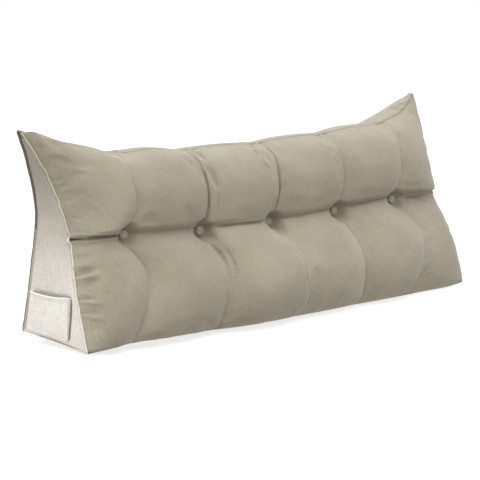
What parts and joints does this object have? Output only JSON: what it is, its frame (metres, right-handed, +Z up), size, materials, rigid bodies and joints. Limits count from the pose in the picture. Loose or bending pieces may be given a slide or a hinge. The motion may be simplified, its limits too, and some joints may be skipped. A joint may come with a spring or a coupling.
{
  "type": "wedge headboard cushion",
  "caption": "Filled wedge cushion for the head of a bed, with button-tufted puffs, raised ears, corded end panels and an open side pocket.",
  "frame": {"origin": "on the floor under the middle of the wedge, midway between the front and back corners of the end panels", "axes": "+X along the cushion to its right end as seen from the front, -Y the tufted front, +Z up from the flat base"},
  "size_m": [1.3797, 0.3317, 0.5096],
  "materials": {
    "front_cloth": "matt brushed linen-look weave, greyed beige",
    "side_cloth": "matt linen-look weave, pale cream",
    "cord_cloth": "matt, bias-cut cloth over a thin cord"
  },
  "bodies": {
    "root": {"cushion": "front_cloth", "end_panel_left": "side_cloth", "end_panel_right": "side_cloth", "seam_cord_left": "cord_cloth", "seam_cord_right": "cord_cloth", "button_1": "front_cloth", "button_2": "front_cloth", "button_3": "front_cloth", "button_4": "front_cloth", "button_5": "front_cloth", "side_pocket": "side_cloth"}
  },
  "joints": []
}
